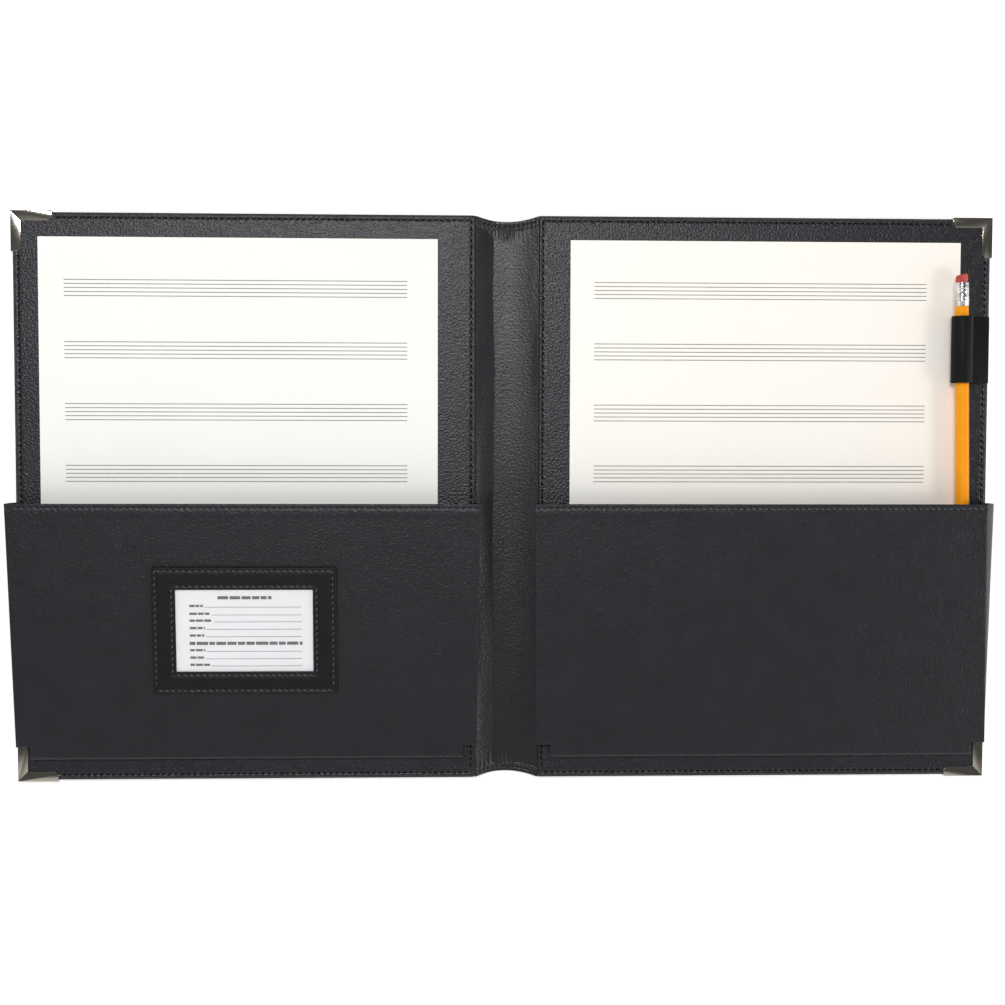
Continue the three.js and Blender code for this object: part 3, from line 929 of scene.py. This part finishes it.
def bars(name, boxes, material, slot, body, matrix=None):
    """Flat printed bars, each given by its spans in X, Y and Z."""
    points, faces = [], []
    for (ax, bx), (ay, by), (az, bz) in boxes:
        s = len(points)
        points += [(x, y, z) for z in (az, bz) for x, y in ((ax, ay), (bx, ay), (bx, by), (ax, by))]
        faces += [(s + 3, s + 2, s + 1, s), (s + 4, s + 5, s + 6, s + 7)]
        faces += [(s + k, s + (k + 1) % 4, s + 4 + (k + 1) % 4, s + 4 + k) for k in range(4)]
    if matrix is not None:
        points = placed(matrix, points)
    piece = add_piece(name, points, faces, material, slot, 30)
    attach(piece, body)


def staves(name, corner, left, right, first, body):
    """Ruled lines in fives, measured from the left edge and the top of the page."""
    x0, top, level = corner
    boxes = []
    for stave in range(STAVES):
        for line in range(5):
            y = top - first - STAVE_PITCH * stave - LINE_PITCH * line
            across, high = (x0 + left, x0 + right), (level - 0.01, level + 0.012)
            boxes.append((across, (y - LINE_HALF, y + LINE_HALF), high))
    bars(name, boxes, STAVE_INK, "paper", body)


left_corner = page_stack(-1, "left_pages", "left_cover", 20.5, LEFT_PAPER)
right_corner = page_stack(1, "right_pages", "right_cover", 17.05, RIGHT_PAPER)
staves("left_staves", left_corner, 13.9, 199.3, 23.0, "left_cover")
staves("right_staves", right_corner, 13.2, 197.2, 22.9, "right_cover")


# Card holder
HOLDER_UP = 84.0
HOLDER_X = -(HINGE_X + COVER_WIDTH / 2)
holder_depth = FOLD_DEPTH + (HOLDER_UP - FOLD_UP) * math.tan(PANEL_SLOPE)
holder_place = (HOLDER_X, HOLDER_UP - HALF_HEIGHT, COVER_FACE + holder_depth)
HOLDER = Matrix.Translation(holder_place) @ Matrix.Rotation(PANEL_SLOPE, 4, "X")


def holder_frame():
    """A frame with a rolled outer edge, two rows of sewing and a window."""
    outer_x, outer_y, inner_x, inner_y = 50.0, 35.0, 37.0, 22.5
    seam_shares, seam_level, pull_depth, pull_reach = (0.165, 0.845), 1.68, 0.22, 0.035
    profile = [
        (0.06, 0.0), (0.0, 0.12), (0.0, 0.9), (0.012, 1.45), (0.035, 1.8), (0.065, 1.92), (0.1, 1.88),
        (0.135, 1.74), (0.165, 1.62), (0.195, 1.74), (0.24, 1.86), (0.32, 1.9), (0.5, 1.9), (0.68, 1.9),
        (0.76, 1.84), (0.81, 1.7), (0.845, 1.58), (0.88, 1.7), (0.92, 1.8), (0.955, 1.72),
        (0.985, 1.5), (1.0, 1.25), (1.0, 1.1), (0.97, 1.02),
    ]

    def half_size(share):
        """Half the width and height at a share of the way in from the edge to the window."""
        return outer_x - (outer_x - inner_x) * share, outer_y - (outer_y - inner_y) * share

    rings = []
    for share, level in profile:
        x, y = half_size(share)
        flat = rounded_rectangle((-x, -y), (x, y), 1.2 - 0.7 * share, (120, 84))
        height = np.full(len(flat), level)
        beat = stitch_beat(np.where(np.abs(flat[:, 1]) > y - 0.3, flat[:, 0], flat[:, 1]))
        for at in seam_shares:
            height -= pull_depth * beat * math.exp(-((share - at) / pull_reach) ** 2)
        rings.append(np.column_stack([flat, height]))
    count = len(rings[0])
    total = len(rings) * count
    faces = [tuple(i % total for i in f) for f in grid(len(rings) + 1, count, closed=True)]
    points = placed(HOLDER, np.vstack(rings))
    piece = add_piece("card_holder_frame", points, faces, FRAME_LEATHER, "leatherette")
    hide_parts("card_frame")
    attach(piece, "left_cover")
    turn = np.array(HOLDER.to_3x3())
    seams = []
    for share in seam_shares:
        x, y = half_size(share)
        for (ax, ay), (bx, by), axis in (
            ((-x, y), (x, y), 0), ((-x, -y), (x, -y), 0), ((-x, -y), (-x, y), 1), ((x, -y), (x, y), 1),
        ):
            a, b = (ax, ay, seam_level), (bx, by, seam_level)
            seams += stitches_between(a, b, (0, 0, 1), axis, HEM_SLANT)
    seams = [(np.array(HOLDER @ Vector(m)), turn @ d, turn @ u) for m, d, u in seams]
    add_stitches("card_holder_seam", seams, "left_cover", HIGHLIGHT_PAINTED_THREAD, HEM_STITCH_WIDTH)


def card_print():
    """Ruled lines and grey bars where such a card has its headings."""
    rng = np.random.default_rng(5)
    level = (0.595, 0.612)
    line_end, line_half = 30.8, 0.14
    boxes = []

    def words(x0, x1, y, height, gap, low, high):
        """A row of bars of random length between two places."""
        at = x0
        while at < x1 - 0.6:
            end = min(at + rng.uniform(low, high), x1)
            boxes.append(((at, end), (y - height / 2, y + height / 2), level))
            at = end + gap

    words(-14.4, 14.7, 18.1, 1.7, 0.7, 3.0, 6.5)
    for y, start in (
        (12.9, -21.5), (8.6, -17.5), (4.8, -16.2), (0.7, -20.6), (-3.4, -21.0), (-11.5, -20.6),
        (-15.6, -21.4), (-19.6, -18.2),
    ):
        boxes.append(((start, line_end), (y - line_half, y + line_half), level))
        words(-29.6, start - 0.8, y + 0.75, 1.25, 0.5, 2.0, 4.0)
    words(-29.8, 31.2, -7.0, 1.75, 0.7, 3.0, 7.5)
    bars("card_ruling", boxes, CARD_INK, "card", "left_cover", HOLDER)


holder_frame()
card_print()


# Metal corners
def eased_copy(name, node, material, body, width, limit=30):
    """A piece with a node's shape, its flat faces made whole again and its edges eased."""
    work = bmesh.new()
    work.from_mesh(frame["nodes"][node].data)
    bmesh.ops.remove_doubles(work, verts=work.verts, dist=1e-6)
    bmesh.ops.dissolve_limit(work, angle_limit=math.radians(1), verts=work.verts, edges=work.edges)
    mesh = bpy.data.meshes.new(name)
    work.to_mesh(mesh)
    work.free()
    piece = linked(name, mesh, material)
    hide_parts(node)
    bevelled(piece, width, 3, limit)
    modified(piece, 40)
    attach(piece, body)


for node, body in (("corner_top_left", "left_cover"), ("corner_bottom_left", "left_cover"),
                   ("corner_top_right", "right_cover"), ("corner_bottom_right", "right_cover")):
    eased_copy(f"{node}_plate", node, NICKEL, body, 0.16)


# Pencil and loop
eased_copy("pencil_loop_strap", "pencil_loop", SHADE_DARKENED_LOOP_LEATHER, "right_cover", 0.2, 50)

LOOP_TOP_DOWN = 54.0
LOOP_LENGTH = 36.5
LOOP_GAP = 0.2
LOOP_CLEARANCE = 0.8
LOOP_WALL = 1.0
PENCIL_SLANT = math.radians(1.15)
PENCIL_FLATS = 7.0
PENCIL_RADIUS = PENCIL_FLATS / math.sqrt(3)
PENCIL_LENGTH = 190.0
PENCIL_TOP_DOWN = 30.5
PENCIL_FROM_EDGE = 17.5
LEAD_BARE = 5.0
POINT_LENGTH = 22.0
ERASER_RADIUS = 3.3
ERASER_LOW = -11.0
FERRULE_RADIUS = 3.82
FERRULE_BORE = 3.45
FERRULE_TOP = -5.2
FERRULE_LOW = -18.0

axis_off = SHEET_SEAT + SHEAF + LOOP_GAP + PENCIL_RADIUS + LOOP_CLEARANCE + LOOP_WALL
from_loop = LOOP_TOP_DOWN + LOOP_LENGTH / 2 - PENCIL_TOP_DOWN
top_x = OUTER_X - PENCIL_FROM_EDGE - from_loop * math.sin(PENCIL_SLANT)
pencil_place = (top_x, HALF_HEIGHT - PENCIL_TOP_DOWN, COVER_FACE + axis_off)
PENCIL = Matrix.Translation(pencil_place) @ Matrix.Rotation(PENCIL_SLANT, 4, "Z")


def lathe(name, profile, material, slot, node, around=64, sharp=35, worn=0.0):
    """A turned piece on the pencil's axis, from (radius, place along it) points.

    Its top may be worn down on the left, by a depth that fades out below.
    """
    worn_from = -3.6
    widest = max(radius for radius, y in profile)
    points = []
    for radius, y in profile:
        for k in range(around):
            angle = 2 * math.pi * k / around
            x = radius * math.cos(angle)
            wear = worn * float(smooth(y, worn_from, 0.0)) * (0.5 - 0.5 * x / widest)
            points.append((x, y - wear, radius * math.sin(angle)))
    faces = grid(len(profile), around, closed=True)
    if profile[0] != profile[-1]:
        first, last = ends(len(profile), around)
        faces += [first[::-1], last]
    piece = add_piece(name, placed(PENCIL, points), faces, material, slot, sharp)
    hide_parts(node)
    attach(piece, "right_cover")


def pencil_top():
    """The rubber, and the band with two pairs of ridges that holds it."""
    bend, worn = 1.2, 1.3
    middle = ERASER_RADIUS - bend
    eraser = [(0.05, ERASER_LOW)] + [(ERASER_RADIUS, y) for y in (ERASER_LOW, -3.6, -2.2, -bend)]
    for angle in np.linspace(0, math.pi / 2, 7):
        eraser.append((middle + bend * math.cos(angle), -bend + bend * math.sin(angle)))
    eraser += [(1.6, 0.02), (0.05, 0.03)]
    lathe("pencil_eraser_end", eraser, ERASER_RUBBER, "eraser_rubber", "pencil_eraser", worn=worn)
    ferrule = [
        (FERRULE_BORE, FERRULE_TOP), (FERRULE_BORE, FERRULE_LOW), (3.8, FERRULE_LOW),
        (FERRULE_RADIUS + 0.03, FERRULE_LOW + 0.12),
    ]
    for up in (3.0, 4.6, 8.2, 9.8):
        for along, out in ((-0.62, 0.0), (-0.42, 0.12), (0.0, 0.24), (0.42, 0.12), (0.62, 0.0)):
            ferrule.append((FERRULE_RADIUS + out, FERRULE_LOW + up + along))
    for along, out in ((-0.7, 0.0), (-0.35, 0.12), (-0.04, 0.0)):
        ferrule.append((FERRULE_RADIUS + out, FERRULE_TOP + along))
    ferrule.append((FERRULE_BORE, FERRULE_TOP))
    lathe("pencil_ferrule_band", ferrule, FERRULE_METAL, "ferrule_metal", "pencil_ferrule", 72, 60)


def pencil_lead():
    """The lead, from its blunted tip up through the wood."""
    tip, top = -PENCIL_LENGTH, ERASER_LOW - 0.2
    lead = [(0.04, tip), (0.16, tip + 0.06), (0.28, tip + 0.35), (1.0, tip + LEAD_BARE), (1.0, top)]
    lathe("pencil_lead_core", lead + [(0.04, top)], GRAPHITE, "graphite", "pencil_lead", 32)


def pencil_barrel():
    """The painted six-sided wood, cut to a bare cone that scallops the paint's edge."""
    around, tip_radius, cone_flare = 96, 1.3, 1.05
    hexagon = []
    for k in range(around):
        angle = 2 * math.pi * k / around
        flat = (angle + math.pi / 6) % (math.pi / 3) - math.pi / 6
        across = PENCIL_FLATS / 2 / math.cos(flat)
        hexagon.append(min(across, PENCIL_RADIUS - 0.22 + 0.02 * math.cos(6 * angle)))
    wood_low, paint_low = LEAD_BARE - PENCIL_LENGTH, POINT_LENGTH - PENCIL_LENGTH

    def cone(y):
        """The point's radius at a place along the pencil."""
        widening = PENCIL_RADIUS * cone_flare - tip_radius
        return tip_radius + widening * (y - wood_low) / (paint_low - wood_low)

    ys = [FERRULE_LOW - 0.12] + list(np.linspace(FERRULE_LOW - 1, paint_low + 3, 40))
    ys += list(np.arange(paint_low + 2.8, paint_low - 4, -0.2))
    ys += list(np.linspace(paint_low - 4.4, wood_low, 24))
    points = []
    for y in ys:
        for k in range(around):
            angle = 2 * math.pi * k / around
            radius = min(hexagon[k], max(cone(y), 1.2))
            points.append((radius * math.sin(angle), y, radius * math.cos(angle)))
    first, last = ends(len(ys), around)
    faces = grid(len(ys), around, closed=True) + [first, last[::-1]]
    piece = add_piece("pencil_barrel", placed(PENCIL, points), faces, PENCIL_PAINT, "pencil_paint", 25)
    piece.data.materials.append(PENCIL_WOOD)
    for face in piece.data.polygons:
        if all(cone(ys[i // around]) < hexagon[i % around] - 0.01 for i in face.vertices):
            face.material_index = 1
    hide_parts("pencil_body")
    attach(piece, "right_cover")


pencil_top()
pencil_lead()
pencil_barrel()


# Kept solids
for node, material in (("left_cover_board", BOARD), ("right_cover_board", BOARD),
                       ("card_window", FILM), ("name_card", CARD_PAPER)):
    kept = frame["nodes"][node]
    kept.data.materials.clear()
    kept.data.materials.append(material)


# Floor, light, camera
def floor():
    """A white table, which shows brighter than it is to the camera and in reflections."""
    reach, drop, glow_strength = 6.0, 0.0004, 0.42
    mesh = bpy.data.meshes.new("floor")
    corners = [(-reach, -reach, 0), (reach, -reach, 0), (reach, reach, 0), (-reach, reach, 0)]
    mesh.from_pydata(corners, [], [(0, 1, 2, 3)])
    plane = bpy.data.objects.new("floor", mesh)
    plane.location = (0, 0, -drop)
    scene.collection.objects.link(plane)
    s = Shader("floor_white")
    rays = s.node("ShaderNodeLightPath").outputs
    mirrored = s.math("MAXIMUM", rays["Is Glossy Ray"], rays["Is Transmission Ray"])
    seen = s.math("MAXIMUM", rays["Is Camera Ray"], mirrored)
    plain = s.node("ShaderNodeBsdfDiffuse", Color=(0.82, 0.82, 0.82, 1.0))
    glow = s.node("ShaderNodeEmission", Color=(1.0, 1.0, 1.0, 1.0))
    s.put(glow, "Strength", s.math("MULTIPLY", seen, glow_strength))
    both = s.node("ShaderNodeAddShader")
    s.put(both, "i0", plain.outputs[0])
    s.put(both, "i1", glow.outputs[0])
    mesh.materials.append(s.shown(both.outputs[0]))


def area_light(name, place, size, power):
    """A soft light that hangs level over the table."""
    lamp = bpy.data.lights.new(name, "AREA")
    lamp.shape = "RECTANGLE"
    lamp.size, lamp.size_y = size
    lamp.energy = power
    holder = bpy.data.objects.new(name, lamp)
    holder.location = place
    scene.collection.objects.link(holder)


def world():
    """A pale room, darker straight overhead, where the camera hangs, and lighter in front."""
    s = Shader("studio", bpy.data.worlds, "ShaderNodeOutputWorld")
    place = s.node("ShaderNodeTexCoord").outputs["Generated"]
    towards = s.node("ShaderNodeSeparateXYZ", Vector=place).outputs
    overhead = s.spread(towards["Z"], 0.25, 0.8, 0.98, 0.08, "SMOOTHSTEP")
    front = s.spread(towards["Y"], -0.08, -0.38, 0.0, 0.5, "SMOOTHSTEP")
    strength = s.math("ADD", overhead, front)
    back = s.node("ShaderNodeBackground", Color=(1.0, 1.0, 1.0, 1.0), Strength=strength)
    scene.world = s.shown(back.outputs[0])


def camera():
    """The camera, fitted to the photo's view."""
    focal_pixels, image_pixels = 1476.0, 1005.0
    place, turn = (-32.9, 39.3, 817.2), (-2.91, -2.15, 0.15)
    lens = bpy.data.cameras.new("camera")
    lens.sensor_width = 36.0
    lens.lens = focal_pixels / image_pixels * lens.sensor_width
    lens.clip_start = 0.02
    lens.clip_end = 40.0
    eye = bpy.data.objects.new("camera", lens)
    eye.location = Vector(place) * MM
    eye.rotation_euler = Euler([math.radians(a) for a in turn], "XYZ")
    scene.collection.objects.link(eye)
    scene.camera = eye


floor()
world()
area_light("strip", (-0.16, 0.48, 1.5), (0.66, 0.16), 12.0)
area_light("soft_right", (1.45, -0.3, 0.85), (0.5, 0.5), 9.5)
camera()
scene.view_settings.view_transform = "Standard"
